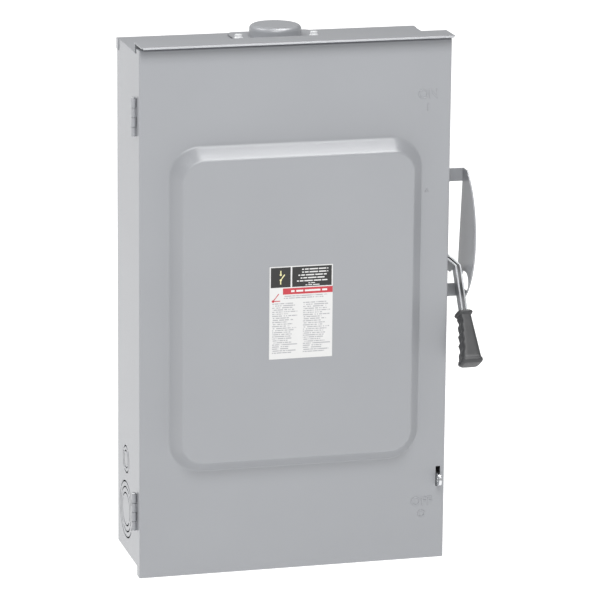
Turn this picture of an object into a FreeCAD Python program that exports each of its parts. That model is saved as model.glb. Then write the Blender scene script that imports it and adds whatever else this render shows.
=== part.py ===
# Heavy-gauge outdoor disconnect switch: a folded steel box with a hinged door, a fused
# three-pole knife switch inside and a side lever outside.
# Millimetres. Origin: centre of the four wall-mounting holes, on the back face.
# +Z up, +X to the right seen from the front, the door faces -Y.
import FreeCAD, Part
import math
import os

os.makedirs("parts", exist_ok=True)
V = FreeCAD.Vector

# ---------------------------------------------------------------- driving dimensions
SHEET = 1.5                     # steel sheet
BODY_HALF = 208.0               # half of the outside width of the box
BODY_TOP, BODY_BOTTOM = 354.0, -357.0
WALL_DEPTH = 122.0              # full-width part of the side walls
LIP_DEPTH = 137.0               # front of the stepped-in lip
LIP_STEP = 5.0

DOOR_LEFT, DOOR_RIGHT = -209.25, 221.25
DOOR_TOP, DOOR_BOTTOM = 362.0, -368.5
DOOR_FACE, DOOR_FLANGE = 143.5, 17.0
PANEL_W, PANEL_H, PANEL_Z = 351.0, 450.0, 4.6   # foot of the raised panel
PANEL_RISE, PANEL_SLOPE = 20.0, 16.0
PANEL_R_OUT, PANEL_R_IN = 44.0, 29.0
SLOT_X, SLOT_Z, SLOT_W, SLOT_H = 211.95, -251.0, 6.5, 28.5

HOOD_TOP, HOOD_BACK, HOOD_BEND, HOOD_FRONT, HOOD_DROP = 368.5, 115.0, 156.3, 158.0, 2.2
HOOD_FOOT = 14.0

WALL_HOLE_X, WALL_HOLE_Z, WALL_HOLE_R = 330.0, 640.0, 4.0

HINGE_X, HINGE_Y = -212.8, -124.8
HINGE_R, PIN_R, KNUCKLE, KNUCKLES, KNUCKLE_GAP = 3.2, 1.6, 13.0, 4, 0.8
HINGE_Z = {"upper": 269.5, "lower": -278.5}

HUB_Y, HUB_SCREW_X, HUB_SCREW_Y = -50.0, 52.4, -54.0
HUB_W, HUB_D, DOME_R, DOME_H = 118.0, 84.0, 35.5, 16.5
GASKET_T, DOME_BACK, DOME_ROUND = 1.0, 2.0, 6.5

PIVOT_Y, PIVOT_Z = -82.0, 80.0  # axis of the handle shaft
SHAFT_R, RUN = 8.0, 0.05        # running clearance in the bushing
OFF_ANGLE = 58.0                # handle below the horizontal when off
LEVER_IN, LEVER_PITCH, LEVER_T, LEVER_W = 212.0, 6.3, 2.2, 15.0
JOG_START, JOG_OUT, ROOT_LOW = 24.0, 27.7, 21.0
GRIP_START, GRIP_END = 116.0, 192.5

GUARD_X, GUARD_T = 252.0, 2.0
GUARD_TAB = {"upper": (-100.0, 164.5), "lower": (-83.0, -2.0)}
TAB_H, TAB_FOOT = 18.0, 22.0
GUARD_HOLE_Y, GUARD_HOLE_Z, GUARD_HOLE_R, GUARD_HOLE_LONG = -117.0, 19.3, 13.0, 8.0

POLES = (-80.0, 0.0, 80.0)
BASE_HALF, BASE_T = 125.0, 24.5
STRAP_T, STRAP_W = 3.0, 28.0
ROTOR_Y, ROTOR_Z = -50.0, 100.0  # axis of the switch blades
BLADE_T, BLADE_W, BLADE_L, BLADE_OFF = 4.0, 22.0, 66.0, 10.0
CRANK_R, CRANK_OFF = 20.0, 8.0   # crank radius, angle above the horizontal when off
BAR_AT, BAR_RADIAL, BAR_WIDE = 32.0, 16.0, 30.0
CONTACT_GAP = 0.1
FUSE_Y, FUSE_R, FUSE_Z, FUSE_TUBE, FUSE_BLADE = -49.0, 19.3, -51.5, 124.0, 28.5
FUSE_BLADE_T, FUSE_BLADE_W, FERRULE = 4.8, 28.6, 14.0
LUG_W, LUG_D, LUG_H, LUG_BORE = 26.0, 24.0, 36.0, 8.0
LUG_SCREW_R = 4.9
NEUTRAL_X, NEUTRAL_Z, NEUTRAL_H = -168.0, -140.0, 136.0

HOOK_X, HOOK_T, HOOK_Z, HOOK_H, HOOK_TIP = 211.5, 3.8, -254.5, 17.0, 158.5
HOOK_BACK, PADLOCK_R = 92.0, 4.2
GUIDE_BACK, GUIDE_FRONT, GUIDE_WALL, GUIDE_EDGE = 89.0, 123.3, 1.6, 220.6

IN_HALF = BODY_HALF - SHEET
BACK_IN = -SHEET                 # front face of the back panel
BASE_FRONT = BACK_IN - BASE_T
STRAP_FRONT = BASE_FRONT - STRAP_T
PLATEAU = DOOR_FACE + PANEL_RISE
DOOR_MID = (DOOR_LEFT + DOOR_RIGHT) / 2


# ---------------------------------------------------------------- helpers
def save(name, shape):
    """Write one sub-part under its node name."""
    shape.exportStep("parts/" + name + ".step")


def box(x0, x1, y0, y1, z0, z1):
    """Axis-aligned block between two corners, given low and high per axis."""
    return Part.makeBox(x1 - x0, y1 - y0, z1 - z0, V(x0, y0, z0))


def rod(axis, centre, radius, start, end):
    """Cylinder along axis 'x', 'y' or 'z' from start to end, through centre."""
    way = {"x": V(1, 0, 0), "y": V(0, 1, 0), "z": V(0, 0, 1)}[axis]
    base = V(*centre)
    setattr(base, axis, start)
    return Part.makeCylinder(radius, end - start, base, way)


def prism(points, axis, start, end):
    """Polygon drawn in the plane across axis (in X, Y, Z order), extruded along it."""
    place = {
        "x": lambda a, b: V(start, a, b),
        "y": lambda a, b: V(a, start, b),
        "z": lambda a, b: V(a, b, start),
    }[axis]
    way = {"x": V(1, 0, 0), "y": V(0, 1, 0), "z": V(0, 0, 1)}[axis]
    wire = Part.makePolygon([place(a, b) for a, b in points + points[:1]])
    return Part.Face(wire).extrude(way * (end - start))


def join(shapes):
    """One clean solid from touching shapes."""
    return shapes[0].multiFuse(shapes[1:]).removeSplitter()


def cut(shape, tools):
    """Shape less all the tools."""
    for tool in tools:
        shape = shape.cut(tool)
    return shape


def round_rect(width, height, radius, depth, centre_z):
    """Closed wire of a rounded rectangle facing the front, at Y = -depth."""
    face = box(-width / 2, width / 2, 0, 1, -height / 2, height / 2)
    posts = [e for e in face.Edges if abs(e.tangentAt(e.FirstParameter).y) > 0.9]
    rounded = face.makeFillet(radius, posts)
    front = min(rounded.Faces, key=lambda f: f.CenterOfMass.y)
    wire = front.OuterWire.copy()
    wire.translate(V(DOOR_MID, -depth, centre_z))
    return wire


def coil(radius, wire, pitch, turns, centre):
    """Round-wire helix standing on centre, its axis along +Z."""
    helix = Part.makeHelix(pitch, pitch * turns, radius)
    profile = Part.Wire(Part.makeCircle(wire / 2, V(radius, 0, 0), V(0, 1, 0)))
    spring = Part.Wire(helix).makePipeShell([profile], True, True)
    spring.translate(V(*centre))
    return spring


def ring_groove(axis, centre, radius, face, depth, ties):
    """Interrupted circular groove that outlines a knockout, cut inwards from face."""
    width = 2.2
    low, high = sorted((face, face + depth))
    groove = rod(axis, centre, radius + width / 2, low, high)
    groove = groove.cut(rod(axis, centre, radius - width / 2, low, high))
    way = {"x": V(1, 0, 0), "y": V(0, 1, 0), "z": V(0, 0, 1)}[axis]
    across, along, through = (radius - 2, radius + 2), (-1.5, 1.5), (low - 1, high + 1)
    sides = {"x": through + across + along, "y": across + through + along, "z": across + along + through}
    middle = V(*centre)
    setattr(middle, axis, 0)
    for k in range(ties):
        tie = box(*sides[axis])
        tie.rotate(V(0, 0, 0), way, 35 + 360 * k / ties)
        tie.translate(middle)
        groove = groove.cut(tie)
    return groove


def knockout(axis, centre, radii, face, depth):
    """Concentric knockout rings; alternate rings have two or four ties."""
    return [ring_groove(axis, centre, r, face, depth, 2 + 2 * (k % 2)) for k, r in enumerate(radii)]


def turned(shape, y, z, degrees):
    """Shape turned about the X line through (y, z)."""
    shape.rotate(V(0, y, z), V(1, 0, 0), degrees)
    return shape


# ---------------------------------------------------------------- enclosure sheet metal
KNOCKOUT_BIG = (23.0, 31.4, 39.5)
KNOCKOUT_SMALL = (12.0, 18.6)
KNOCKOUT_Y = -52.0
GROOVE = 1.6


def enclosure_wrap():
    """Back panel and both side walls folded from one sheet, with stepped-in front lips."""
    low, high = BODY_BOTTOM + SHEET, BODY_TOP - SHEET
    pieces = [box(-BODY_HALF, BODY_HALF, -SHEET, 0, low, high)]
    for side in (-1, 1):
        def wall(a, b, back, front):
            x0, x1 = sorted((side * a, side * b))
            return box(x0, x1, -front, -back, low, high)
        pieces.append(wall(BODY_HALF, IN_HALF, 0, WALL_DEPTH))
        pieces.append(wall(BODY_HALF, IN_HALF - LIP_STEP, WALL_DEPTH - SHEET, WALL_DEPTH))
        pieces.append(wall(BODY_HALF - LIP_STEP, IN_HALF - LIP_STEP, WALL_DEPTH - SHEET, LIP_DEPTH))
    body = join(pieces)
    holes = [
        rod("y", (x, 0, z), WALL_HOLE_R, -SHEET - 1, 1)
        for x in (-WALL_HOLE_X / 2, WALL_HOLE_X / 2)
        for z in (-WALL_HOLE_Z / 2, WALL_HOLE_Z / 2)
    ]
    holes.append(rod("x", (0, PIVOT_Y, PIVOT_Z), BUSH_R, IN_HALF - 1, BODY_HALF + 1))
    for side in (-1, 1):
        face, inwards = side * BODY_HALF, -side * GROOVE
        holes += knockout("x", (0, KNOCKOUT_Y, -297), KNOCKOUT_BIG, face, inwards)
        holes += knockout("x", (0, KNOCKOUT_Y, -225), KNOCKOUT_SMALL, face, inwards)
    holes += knockout("y", (-60, 0, -297), KNOCKOUT_BIG, 0, -GROOVE)
    holes += knockout("y", (60, 0, -297), KNOCKOUT_SMALL, 0, -GROOVE)
    return cut(body, holes)


def end_wall(outer, inner_dir):
    """End wall with folded flanges inside the wrap and a stepped-in front lip."""
    flange = 14.0
    deep = outer + inner_dir * SHEET

    def slab(x0, x1, y0, y1, a, b):
        z0, z1 = sorted((a, b))
        return box(x0, x1, y0, y1, z0, z1)
    lip_out, lip_in = outer + inner_dir * LIP_STEP, outer + inner_dir * (LIP_STEP + SHEET)
    side_in = IN_HALF - SHEET
    lip_half = IN_HALF - LIP_STEP
    tip = outer + inner_dir * flange
    pieces = [
        slab(-BODY_HALF, BODY_HALF, -WALL_DEPTH, 0, outer, deep),
        slab(-IN_HALF, -side_in, -WALL_DEPTH + 12, -SHEET, deep, tip),
        slab(side_in, IN_HALF, -WALL_DEPTH + 12, -SHEET, deep, tip),
        slab(-side_in, side_in, -2 * SHEET, -SHEET, deep, tip),
        slab(-lip_half, lip_half, -WALL_DEPTH, -WALL_DEPTH + SHEET, deep, lip_in),
        slab(-lip_half, lip_half, -LIP_DEPTH, -WALL_DEPTH, lip_out, lip_in),
    ]
    return join(pieces)


def top_wall():
    """Top wall with the round hub opening and two small tabs folded over the side walls."""
    wall = end_wall(BODY_TOP, -1)
    tab, tab_drop = 12.0, 15.0
    for side in (-1, 1):
        x0, x1 = sorted((side * BODY_HALF, side * (BODY_HALF + 1.2)))
        wall = wall.fuse(box(x0, x1, -tab, 0, BODY_TOP - tab_drop, BODY_TOP))
    opening = rod("z", (0, HUB_Y, 0), DOME_R - 3, BODY_TOP - 5, BODY_TOP + 5)
    screws = [rod("z", (s * HUB_SCREW_X, HUB_SCREW_Y, 0), 2.6, BODY_TOP - 5, BODY_TOP + 5) for s in (-1, 1)]
    return cut(wall, [opening] + screws).removeSplitter()


def bottom_wall():
    """Bottom wall with one large and two small conduit knockouts and a drain hole."""
    wall = end_wall(BODY_BOTTOM, 1)
    tools = knockout("z", (0, KNOCKOUT_Y - 6, 0), KNOCKOUT_BIG, BODY_BOTTOM, GROOVE)
    for x in (-120, 120):
        tools += knockout("z", (x, KNOCKOUT_Y - 6, 0), KNOCKOUT_SMALL, BODY_BOTTOM, GROOVE)
    tools.append(rod("z", (170, -108, 0), 2.2, BODY_BOTTOM - 1, BODY_BOTTOM + 8))
    return cut(wall, tools)


def drip_hood():
    """Rain hood welded on the top wall; its front slopes down over the top of the door."""
    under = HOOD_TOP - SHEET
    riser_front = HOOD_BACK + SHEET
    foot = box(-IN_HALF, IN_HALF, -riser_front, -HOOD_BACK + HOOD_FOOT, BODY_TOP, BODY_TOP + SHEET)
    riser = box(DOOR_LEFT, DOOR_RIGHT, -riser_front, -HOOD_BACK, BODY_TOP, HOOD_TOP)
    roof = box(DOOR_LEFT, DOOR_RIGHT, -HOOD_BEND, -HOOD_BACK, under, HOOD_TOP)
    slope = prism(
        [(-HOOD_BEND, HOOD_TOP), (-HOOD_FRONT, HOOD_TOP - HOOD_DROP),
         (-HOOD_FRONT + 1.2, HOOD_TOP - HOOD_DROP - 0.9), (-HOOD_BEND, under)],
        "x", DOOR_LEFT + 2.2, DOOR_RIGHT - 2.2)
    return join([foot, riser, roof, slope])


BUSH_R = SHAFT_R + RUN + 3.0
save("enclosure_wrap", enclosure_wrap())
save("top_wall", top_wall())
save("bottom_wall", bottom_wall())
save("drip_hood", drip_hood())


# ---------------------------------------------------------------- hub closing plate
def hub_outline(z0, z1, grow):
    """Rounded rectangle of the hub plate between two heights."""
    half_w, half_d = HUB_W / 2 + grow, HUB_D / 2 + grow
    plate = box(-half_w, half_w, HUB_Y - half_d, HUB_Y + half_d, z0, z1)
    posts = [e for e in plate.Edges if abs(e.tangentAt(e.FirstParameter).z) > 0.9]
    return plate.makeFillet(12 + grow, posts)


def hub_plate():
    """Pressed closing plate with a round cap, hollow underneath."""
    foot = BODY_TOP + GASKET_T
    face = foot + SHEET
    crown = face + DOME_H

    def dome(inset):
        drum = rod("z", (0, HUB_Y + DOME_BACK, 0), DOME_R - inset, foot, crown - inset)
        rim = [e for e in drum.Edges if len(e.Vertexes) == 1 and e.CenterOfMass.z > face]
        return drum.makeFillet(DOME_ROUND - inset, rim)
    screws = [rod("z", (s * HUB_SCREW_X, HUB_SCREW_Y, 0), 2.6, foot - 1, face + 1) for s in (-1, 1)]
    return cut(join([hub_outline(foot, face, 0), dome(0)]), [dome(SHEET)] + screws)


def hub_gasket():
    """Flat gasket between the closing plate and the top wall."""
    ring = hub_outline(BODY_TOP, BODY_TOP + GASKET_T, -1)
    tools = [rod("z", (0, HUB_Y, 0), DOME_R - 3, BODY_TOP - 1, BODY_TOP + 5)]
    tools += [rod("z", (s * HUB_SCREW_X, HUB_SCREW_Y, 0), 2.6, BODY_TOP - 1, BODY_TOP + 5) for s in (-1, 1)]
    return cut(ring, tools)


def hub_screw(x):
    """Washer-head screw that holds the closing plate."""
    seat = BODY_TOP + GASKET_T + SHEET
    head = rod("z", (x, HUB_SCREW_Y, 0), 6.2, seat, seat + 1.0)
    hexagon = [(x + 5.4 * math.cos(math.radians(60 * k)), HUB_SCREW_Y + 5.4 * math.sin(math.radians(60 * k)))
               for k in range(6)]
    hexagon = prism(hexagon, "z", seat, seat + 5.4)
    slot = box(x - 6, x + 6, HUB_SCREW_Y - 0.6, HUB_SCREW_Y + 0.6, seat + 4.0, seat + 6)
    return join([head, hexagon, rod("z", (x, HUB_SCREW_Y, 0), 2.5, BODY_TOP - 8, seat)]).cut(slot)


save("hub_plate", hub_plate())
save("hub_gasket", hub_gasket())
save("hub_screws", Part.makeCompound([hub_screw(-HUB_SCREW_X), hub_screw(HUB_SCREW_X)]))


# ---------------------------------------------------------------- hinges
LEAF_T = 1.2


def knuckle_row(z_mid, first):
    """Every other knuckle of one barrel, starting with the first or second from the top."""
    top = z_mid + KNUCKLE * KNUCKLES / 2
    rows = []
    for k in range(first, KNUCKLES, 2):
        high = top - k * KNUCKLE - KNUCKLE_GAP / 2
        rows.append((high - KNUCKLE + KNUCKLE_GAP, high))
    return rows


def box_hinge(z_mid):
    """Leaf welded to the lip of the box, with knuckles one and three."""
    half = KNUCKLE * KNUCKLES / 2
    y0 = HINGE_Y + 0.6
    clear = HINGE_X + HINGE_R + 0.3
    pieces = [box(clear, -BODY_HALF + LIP_STEP, y0, y0 + LEAF_T, z_mid - half, z_mid + half)]
    for z0, z1 in knuckle_row(z_mid, 0):
        pieces.append(rod("z", (HINGE_X, HINGE_Y, 0), HINGE_R, z0, z1))
        pieces.append(box(HINGE_X, clear + 1, y0, y0 + LEAF_T, z0, z1))
    return join(pieces).cut(rod("z", (HINGE_X, HINGE_Y, 0), PIN_R + 0.02, z_mid - half - 1, z_mid + half + 1))


def door_hinge(z_mid):
    """Leaf welded inside the door flange, with knuckles two and four."""
    half = KNUCKLE * KNUCKLES / 2
    back, front = HINGE_Y - 0.5, -DOOR_FACE + DOOR_FLANGE + 0.1
    flange_in = DOOR_LEFT + SHEET
    clear = HINGE_X + HINGE_R + 0.3
    pieces = [
        box(clear, flange_in + LEAF_T, front, back, z_mid - half, z_mid + half),
        box(flange_in, flange_in + LEAF_T, -DOOR_FACE + 4, back, z_mid - half, z_mid + half),
    ]
    for z0, z1 in knuckle_row(z_mid, 1):
        pieces.append(rod("z", (HINGE_X, HINGE_Y, 0), HINGE_R, z0, z1))
        pieces.append(box(HINGE_X, clear + 1, front, back, z0, z1))
    return join(pieces).cut(rod("z", (HINGE_X, HINGE_Y, 0), PIN_R + 0.08, z_mid - half - 1, z_mid + half + 1))


def hinge_pin(z_mid):
    """Headed pin through all four knuckles."""
    half = KNUCKLE * KNUCKLES / 2
    stem = rod("z", (HINGE_X, HINGE_Y, 0), PIN_R, z_mid - half, z_mid + half + 0.2)
    return stem.fuse(rod("z", (HINGE_X, HINGE_Y, 0), PIN_R + 1, z_mid + half + 0.1, z_mid + half + 1.3))


for level, height in HINGE_Z.items():
    save("box_hinge_" + level, box_hinge(height))
    save("door_hinge_" + level, door_hinge(height))
save("hinge_pins", Part.makeCompound([hinge_pin(z) for z in HINGE_Z.values()]))


# ---------------------------------------------------------------- door and its labels
def letter_o(x, z, height, width):
    """Raised ring letter."""
    stroke = 1.9
    ring = rod("y", (0, 0, 0), height / 2, -LETTER_RISE, 0)
    ring = ring.cut(rod("y", (0, 0, 0), height / 2 - stroke, -LETTER_RISE - 1, 1))
    squeeze = FreeCAD.Matrix()
    squeeze.scale(width / height, 1, 1)
    ring = ring.transformGeometry(squeeze)
    ring.translate(V(x, -DOOR_FACE, z))
    return ring


def bar(x, z, width, height):
    """Raised upright or level stroke centred on (x, z)."""
    return box(x - width / 2, x + width / 2, -DOOR_FACE - LETTER_RISE, -DOOR_FACE,
               z - height / 2, z + height / 2)


def letter_n(x, z, height, width):
    """Raised letter N from two posts and a diagonal."""
    stroke = 1.9
    left, right = x - width / 2, x + width / 2
    low, high = z - height / 2, z + height / 2
    diagonal = prism([(left, high), (left + 2.2, high), (right, low), (right - 2.2, low)],
                     "y", -DOOR_FACE - LETTER_RISE, -DOOR_FACE)
    posts = [bar(left + stroke / 2, z, stroke, height), bar(right - stroke / 2, z, stroke, height)]
    return posts + [diagonal]


def letter_f(x, z, height, width):
    """Raised letter F."""
    stroke = 1.9
    left, high = x - width / 2, z + height / 2
    return [bar(left + stroke / 2, z, stroke, height),
            bar(x, high - stroke / 2, width, stroke),
            bar(x - 0.8, z, width - 1.6, stroke)]


LETTER_RISE = 0.7
MARK_X, MARK_H, MARK_W = 189.0, 12.0, 9.5
ON_Z, OFF_Z = 287.0, -286.0


def switch_marks():
    """Raised ON / I at the top right and OFF / O at the bottom right of the door."""
    marks = [letter_o(MARK_X - 6.5, ON_Z, MARK_H, MARK_W + 1)]
    marks += letter_n(MARK_X + 6.5, ON_Z, MARK_H, MARK_W)
    marks.append(bar(MARK_X, ON_Z - 18, 2.2, 10))
    marks.append(letter_o(MARK_X - 12.5, OFF_Z, MARK_H, MARK_W + 1))
    marks += letter_f(MARK_X, OFF_Z, MARK_H, MARK_W - 1)
    marks += letter_f(MARK_X + 12.0, OFF_Z, MARK_H, MARK_W - 1)
    marks.append(letter_o(MARK_X, OFF_Z - 18, 10, 10))
    marks.append(bar(MARK_X, 148, 2.0, 9))
    marks.append(prism([(MARK_X - 3.2, 152), (MARK_X + 3.2, 152), (MARK_X, 158.5)],
                       "y", -DOOR_FACE - LETTER_RISE, -DOOR_FACE))
    return marks


def raised_panel(shrink, depth_in):
    """Raised middle of the door as a tapered block, shrunk for its hollow inside."""
    slope = PANEL_SLOPE
    foot = round_rect(PANEL_W - 2 * shrink, PANEL_H - 2 * shrink, PANEL_R_OUT - shrink,
                      DOOR_FACE - depth_in, PANEL_Z)
    crest = round_rect(PANEL_W - 2 * slope - 2 * shrink, PANEL_H - 2 * slope - 2 * shrink,
                       PANEL_R_IN - shrink, PLATEAU - depth_in, PANEL_Z)
    return Part.makeLoft([foot, crest], True, True)


def door_panel():
    """Door pressed from one sheet: folded flanges, raised panel, latch slot, raised marks."""
    back = -DOOR_FACE + DOOR_FLANGE
    pan = box(DOOR_LEFT, DOOR_RIGHT, -DOOR_FACE, back, DOOR_BOTTOM, DOOR_TOP)
    rim = [e for e in pan.Edges if abs(e.CenterOfMass.y + DOOR_FACE) < 0.01]
    pan = pan.makeFillet(2.0, rim)
    inside = box(DOOR_LEFT + SHEET, DOOR_RIGHT - SHEET, -DOOR_FACE + SHEET, back + 1,
                 DOOR_BOTTOM + SHEET, DOOR_TOP - SHEET)
    slot = box(SLOT_X - SLOT_W / 2, SLOT_X + SLOT_W / 2, -DOOR_FACE - 1, -DOOR_FACE + 5,
               SLOT_Z - SLOT_H / 2, SLOT_Z + SLOT_H / 2)
    outer = pan.fuse(raised_panel(0, 0))
    shell = outer.cut(inside.fuse(raised_panel(1.1, SHEET))).cut(slot)
    for mark in switch_marks():
        shell = shell.fuse(mark)
    return shell.removeSplitter()


LABEL_W, LABEL_H, LABEL_X, LABEL_T = 88.0, 128.5, 9.0, 0.3
DIAGRAM_W, DIAGRAM_H = 170.0, 120.0
save("door_panel", door_panel())
save("door_label", box(LABEL_X - LABEL_W / 2, LABEL_X + LABEL_W / 2, -PLATEAU - LABEL_T, -PLATEAU,
                       -LABEL_H / 2, LABEL_H / 2))
save("wiring_label", box(DOOR_MID - DIAGRAM_W / 2, DOOR_MID + DIAGRAM_W / 2, -PLATEAU + SHEET,
                         -PLATEAU + SHEET + LABEL_T, -DIAGRAM_H / 2 + 60, DIAGRAM_H / 2 + 60))


# ---------------------------------------------------------------- handle guard
def handle_guard():
    """Bent strap on the side wall: a bowed plate beside the lever, held off by two tabs."""
    top_y, top_z = GUARD_TAB["upper"]
    low_y, low_z = GUARD_TAB["lower"]
    high, low = top_z + TAB_H / 2, low_z - TAB_H / 2
    lead = 22.0
    nose = V(GUARD_X, -164, (high + low) / 2 + 4)
    back_top, back_low = V(GUARD_X, top_y - GUARD_T, high), V(GUARD_X, low_y - GUARD_T, low)
    under_top, over_low = back_top - V(0, 0, TAB_H), back_low + V(0, 0, TAB_H)
    front_top, front_low = V(GUARD_X, top_y - lead, high), V(GUARD_X, low_y - lead, low - 4)
    corners = [front_low, back_low, over_low, under_top, back_top, front_top]
    edges = [Part.LineSegment(a, b).toShape() for a, b in zip(corners, corners[1:])]
    wire = Part.Wire(edges + [Part.Arc(front_top, nose, front_low).toShape()])
    plate = Part.Face(wire).extrude(V(GUARD_T, 0, 0))
    sides = (GUARD_X - 1, GUARD_X + GUARD_T + 1)
    ends = [rod("x", (0, y, GUARD_HOLE_Z), GUARD_HOLE_R, *sides)
            for y in (GUARD_HOLE_Y, GUARD_HOLE_Y - GUARD_HOLE_LONG)]
    between = box(*sides, GUARD_HOLE_Y - GUARD_HOLE_LONG, GUARD_HOLE_Y,
                  GUARD_HOLE_Z - GUARD_HOLE_R, GUARD_HOLE_Z + GUARD_HOLE_R)
    plate = cut(plate, ends + [between])
    pieces = [plate]
    for y, z in GUARD_TAB.values():
        z0, z1 = z - TAB_H / 2, z + TAB_H / 2
        pieces.append(box(BODY_HALF, GUARD_X + GUARD_T, y - GUARD_T, y, z0, z1))
        pieces.append(box(BODY_HALF, BODY_HALF + GUARD_T, y - GUARD_T, y + TAB_FOOT, z0, z1))
    return join(pieces)


def guard_rivet(y, z):
    """Dome rivet through the guard foot and the side wall."""
    face = BODY_HALF + GUARD_T
    head = rod("x", (0, y, z), 4.0, face, face + 1.8)
    rim = [e for e in head.Edges if len(e.Vertexes) == 1 and e.CenterOfMass.x > face + 1]
    return head.makeFillet(1.2, rim)


save("handle_guard", handle_guard())
save("guard_rivets", Part.makeCompound(
    [guard_rivet(y + TAB_FOOT * k, z) for y, z in GUARD_TAB.values() for k in (0.3, 0.75)]))


# ---------------------------------------------------------------- lever, grip and shaft
def lever_plate(x):
    """One bent lever plate pointing forward from the shaft, before it is turned to off."""
    jog_end = JOG_START + JOG_OUT
    out = x + JOG_OUT
    tip = GRIP_END - 12
    path = [(x, 0), (x, -JOG_START), (out, -jog_end), (out, -tip),
            (out + LEVER_T, -tip), (out + LEVER_T, -jog_end + 1),
            (x + LEVER_T, -JOG_START + 1), (x + LEVER_T, 0)]
    strip = prism([(a, PIVOT_Y + b) for a, b in path], "z", PIVOT_Z - LEVER_W / 2, PIVOT_Z + LEVER_W / 2)
    root_path = path[:3] + path[-3:]
    root = prism([(a, PIVOT_Y + b) for a, b in root_path], "z", PIVOT_Z - ROOT_LOW, PIVOT_Z)
    eye = rod("x", (0, PIVOT_Y, PIVOT_Z), 13.5, x, x + LEVER_T)
    return join([strip, root, eye])


def lever_solid():
    """Two-plate lever: parallel plates joined by a rolled web near the shaft."""
    inner, outer = lever_plate(LEVER_IN), lever_plate(LEVER_IN + LEVER_PITCH)
    half = LEVER_W / 2
    web_path = [(LEVER_IN + 1, -14), (LEVER_IN + 1, -JOG_START), (LEVER_IN + 15, -JOG_START - 14),
                (LEVER_IN + 15 + LEVER_PITCH, -JOG_START - 14), (LEVER_IN + 1 + LEVER_PITCH, -JOG_START),
                (LEVER_IN + 1 + LEVER_PITCH, -14)]
    web = prism([(a, PIVOT_Y + b) for a, b in web_path], "z", PIVOT_Z + half - 2.2, PIVOT_Z + half)
    return join([inner, outer, web])


def grip_section(along, width, height):
    """Rounded rectangle across the grip at a distance from the shaft."""
    mid = LEVER_IN + JOG_OUT + (LEVER_PITCH + LEVER_T) / 2
    block = box(mid - width / 2, mid + width / 2, 0, 1, PIVOT_Z - height / 2, PIVOT_Z + height / 2)
    posts = [e for e in block.Edges if abs(e.tangentAt(e.FirstParameter).y) > 0.9]
    rounded = block.makeFillet(min(width, height) * 0.28, posts)
    wire = min(rounded.Faces, key=lambda f: f.CenterOfMass.y).OuterWire.copy()
    wire.translate(V(0, PIVOT_Y - along, 0))
    return wire


FINGERS, FINGER_R = 4, 6.0


def grip():
    """Moulded handle: collar, tapered body with finger scallops, rim and flat end."""
    neck, foot, neck_w, foot_w = GRIP_START + 5.5, GRIP_END - 7, 16.0, 28.0
    parts = [
        (GRIP_START, 22, 27, GRIP_START + 6, 22, 27),
        (neck, neck_w, 24, foot, foot_w, 28),
        (foot - 0.5, 31, 31, GRIP_END - 3, 31, 31),
        (GRIP_END - 3.5, 28, 29, GRIP_END, 23, 25),
    ]
    shape = join([Part.makeLoft([grip_section(*part[:3]), grip_section(*part[3:])], True, True)
                  for part in parts])
    mid = LEVER_IN + JOG_OUT + (LEVER_PITCH + LEVER_T) / 2
    for k in range(FINGERS):
        along = GRIP_START + 16 + k * 12.5
        side = mid - (neck_w + (foot_w - neck_w) * (along - neck) / (foot - neck)) / 2
        finger = (side - FINGER_R + 2.4, PIVOT_Y - along, 0)
        shape = shape.cut(rod("z", finger, FINGER_R, PIVOT_Z - 20, PIVOT_Z + 20))
    for plate in (lever_plate(LEVER_IN), lever_plate(LEVER_IN + LEVER_PITCH)):
        shape = shape.cut(plate)
    return shape


def handle_shaft():
    """Shaft through the side wall with a retaining head outside and a crank inside."""
    head_face = LEVER_IN + LEVER_PITCH + LEVER_T
    shaft = rod("x", (0, PIVOT_Y, PIVOT_Z), SHAFT_R, CRANK_X, head_face + 0.5)
    head = rod("x", (0, PIVOT_Y, PIVOT_Z), 11.0, head_face, head_face + 3.5)
    angle = math.radians(CRANK_OFF)
    pin_y, pin_z = PIVOT_Y - CRANK_R * math.cos(angle), PIVOT_Z + CRANK_R * math.sin(angle)
    arm = join([
        rod("x", (0, PIVOT_Y, PIVOT_Z), 12.0, CRANK_X, CRANK_X + LINK_T),
        rod("x", (0, pin_y, pin_z), 7.5, CRANK_X, CRANK_X + LINK_T),
        prism([(PIVOT_Y - 0.1, PIVOT_Z + 9), (PIVOT_Y + 0.1, PIVOT_Z - 9),
               (pin_y, pin_z - 7), (pin_y, pin_z + 7)], "x", CRANK_X, CRANK_X + LINK_T),
    ])
    pin = rod("x", (0, pin_y, pin_z), LINK_PIN_R, LINK_X, CRANK_X + 0.5)
    return join([shaft, head, arm, pin])


LINK_T, LINK_PIN_R = 4.0, 4.0
ARM_X = 176.0
LINK_X = ARM_X + LINK_T + 0.5
CRANK_X = LINK_X + LINK_T + 0.5
lever_at_rest = lever_solid().cut(rod("x", (0, PIVOT_Y, PIVOT_Z), SHAFT_R, LEVER_IN - 1, LEVER_IN + 12))
save("lever", turned(lever_at_rest, PIVOT_Y, PIVOT_Z, OFF_ANGLE))
save("grip", turned(grip(), PIVOT_Y, PIVOT_Z, OFF_ANGLE))
save("handle_shaft", handle_shaft())


def shaft_bushing():
    """Flanged bushing that carries the shaft in the side wall."""
    sleeve = rod("x", (0, PIVOT_Y, PIVOT_Z), BUSH_R, BRACKET_X - 1, BODY_HALF + 1)
    flange = rod("x", (0, PIVOT_Y, PIVOT_Z), BUSH_R + 4, BODY_HALF, BODY_HALF + 2.5)
    bore = rod("x", (0, PIVOT_Y, PIVOT_Z), SHAFT_R + RUN, BRACKET_X - 2, BODY_HALF + 4)
    return sleeve.fuse(flange).cut(bore)


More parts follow.
